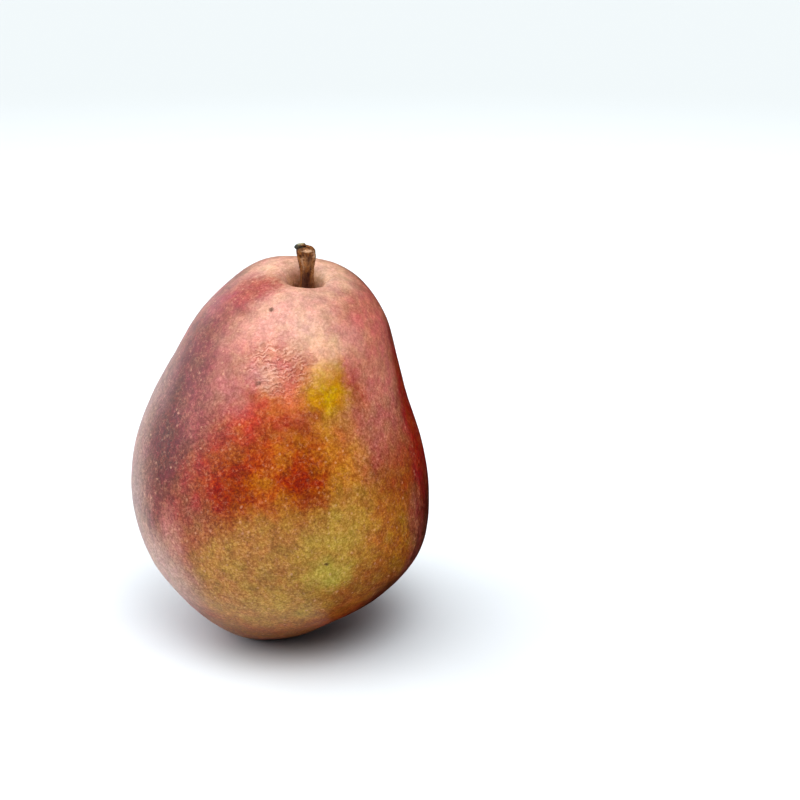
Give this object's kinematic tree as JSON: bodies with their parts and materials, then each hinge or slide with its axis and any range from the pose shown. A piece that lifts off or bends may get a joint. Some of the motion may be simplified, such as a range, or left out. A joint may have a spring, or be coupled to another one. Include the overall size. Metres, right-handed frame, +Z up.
{
  "type": "pear",
  "caption": "Whole ripe red pear, short and egg-shaped with hardly any neck, with its woody stem and dried calyx, standing on its blossom end.",
  "frame": {"origin": "on the surface that the pear rests on, under the middle of its box", "axes": "+Z up along the height, -Y the side that shows the most yellow and green, +X to its right"},
  "size_m": [0.0786, 0.0796, 0.1068],
  "materials": {
    "skin": "thin waxy pear skin with a satin sheen: red blush over olive and mustard ground colour, with fine pale spots",
    "bark": "rough brown bark of a fruit stalk, darker towards its foot",
    "dried_calyx": "dry, leathery dark brown flower remains"
  },
  "bodies": {
    "root": {"fruit": "skin", "stem": "bark", "calyx": "dried_calyx"}
  },
  "joints": []
}
